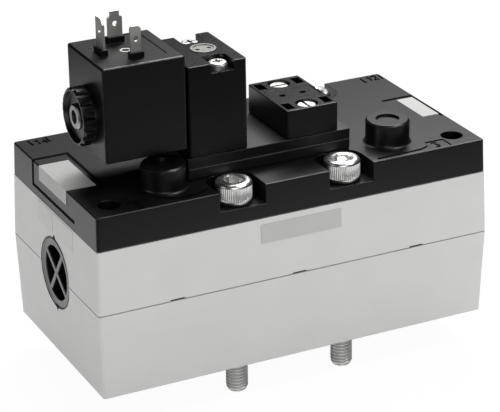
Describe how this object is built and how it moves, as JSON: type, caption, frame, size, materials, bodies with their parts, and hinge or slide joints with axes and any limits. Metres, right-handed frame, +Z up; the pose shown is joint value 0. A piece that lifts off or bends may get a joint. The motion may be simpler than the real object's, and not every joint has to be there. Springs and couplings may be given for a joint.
{
  "type": "directional control valve",
  "caption": "Sub-base mounted 5/2 air valve with a solenoid pilot, spring return, turning manual override and a blanked second pilot station.",
  "frame": {"origin": "centre of the base face, on the axis of the middle port", "axes": "+X along the body to the right, away from the coil; +Y towards the rear; +Z up through the cover"},
  "size_m": [0.1524, 0.0798, 0.1385],
  "materials": {
    "cast_aluminium": "fine-blasted light grey die casting, matt",
    "cover_black": "black, semi-gloss, lightly grained",
    "seal_rubber": "black nitrile rubber",
    "zinc_steel": "bright zinc-plated steel",
    "anodised_aluminium": "machined and anodised, satin",
    "insert_grey": "dark grey moulded plastic",
    "stainless_steel": "turned stainless steel",
    "spring_steel": "drawn spring wire",
    "valve_black": "black moulded plastic, satin",
    "coil_black": "black encapsulation, fine-grained",
    "brass": "turned brass",
    "tinned_copper": "tinned copper alloy strip",
    "label_silver": "bare silver-grey film",
    "label_grey": "bare grey film"
  },
  "bodies": {
    "valve": {"lower_housing": "cast_aluminium", "base_gasket": "seal_rubber", "housing_gasket": "seal_rubber", "upper_housing": "cast_aluminium", "cover_gasket": "seal_rubber", "cover": "cover_black", "body_screws": "zinc_steel", "spool_sleeve": "anodised_aluminium", "drive_cylinder": "insert_grey", "right_end_seal": "seal_rubber", "vent_insert": "insert_grey", "left_end_seal": "seal_rubber", "return_spring": "spring_steel", "plunger_spring": "spring_steel", "plate_gasket": "seal_rubber", "adapter_plate": "valve_black", "pilot_gasket": "seal_rubber", "pilot_body": "valve_black", "pilot_screws": "zinc_steel", "armature_tube": "stainless_steel", "fixed_core": "stainless_steel", "valve_seat": "brass", "coil_housing": "coil_black", "rear_blade": "tinned_copper", "front_blade": "tinned_copper", "earth_blade": "tinned_copper", "thread_insert": "brass", "coil_nut": "coil_black", "coil_seal": "seal_rubber", "block_gasket": "seal_rubber", "blanking_block": "valve_black", "block_screws": "zinc_steel", "left_label": "label_silver", "right_label": "label_silver", "front_label": "label_grey"},
    "spool": {"main_spool": "anodised_aluminium", "spool_seals": "seal_rubber", "drive_piston": "insert_grey", "piston_seal": "seal_rubber"},
    "plunger": {"plunger": "stainless_steel", "plunger_pad": "seal_rubber"},
    "override": {"override_knob": "zinc_steel"}
  },
  "joints": [
    {"name": "spool_shift", "type": "slide", "parent": "valve", "child": "spool", "axis": [-1, 0, 0], "range_m": [0, 0.008], "stiffness_N_per_m": 2500, "springref_m": -0.012, "deforming": ["return_spring"]},
    {"name": "plunger_lift", "type": "slide", "parent": "valve", "child": "plunger", "axis": [-1, 0, 0], "range_m": [0, 0.0008], "stiffness_N_per_m": 500, "springref_m": -0.005, "deforming": ["plunger_spring"]},
    {"name": "override_turn", "type": "hinge", "parent": "valve", "child": "override", "pos_m": [-0.0206, -0.008, 0.1052], "axis": [0, 0, 1], "range_deg": [0, 90]}
  ]
}
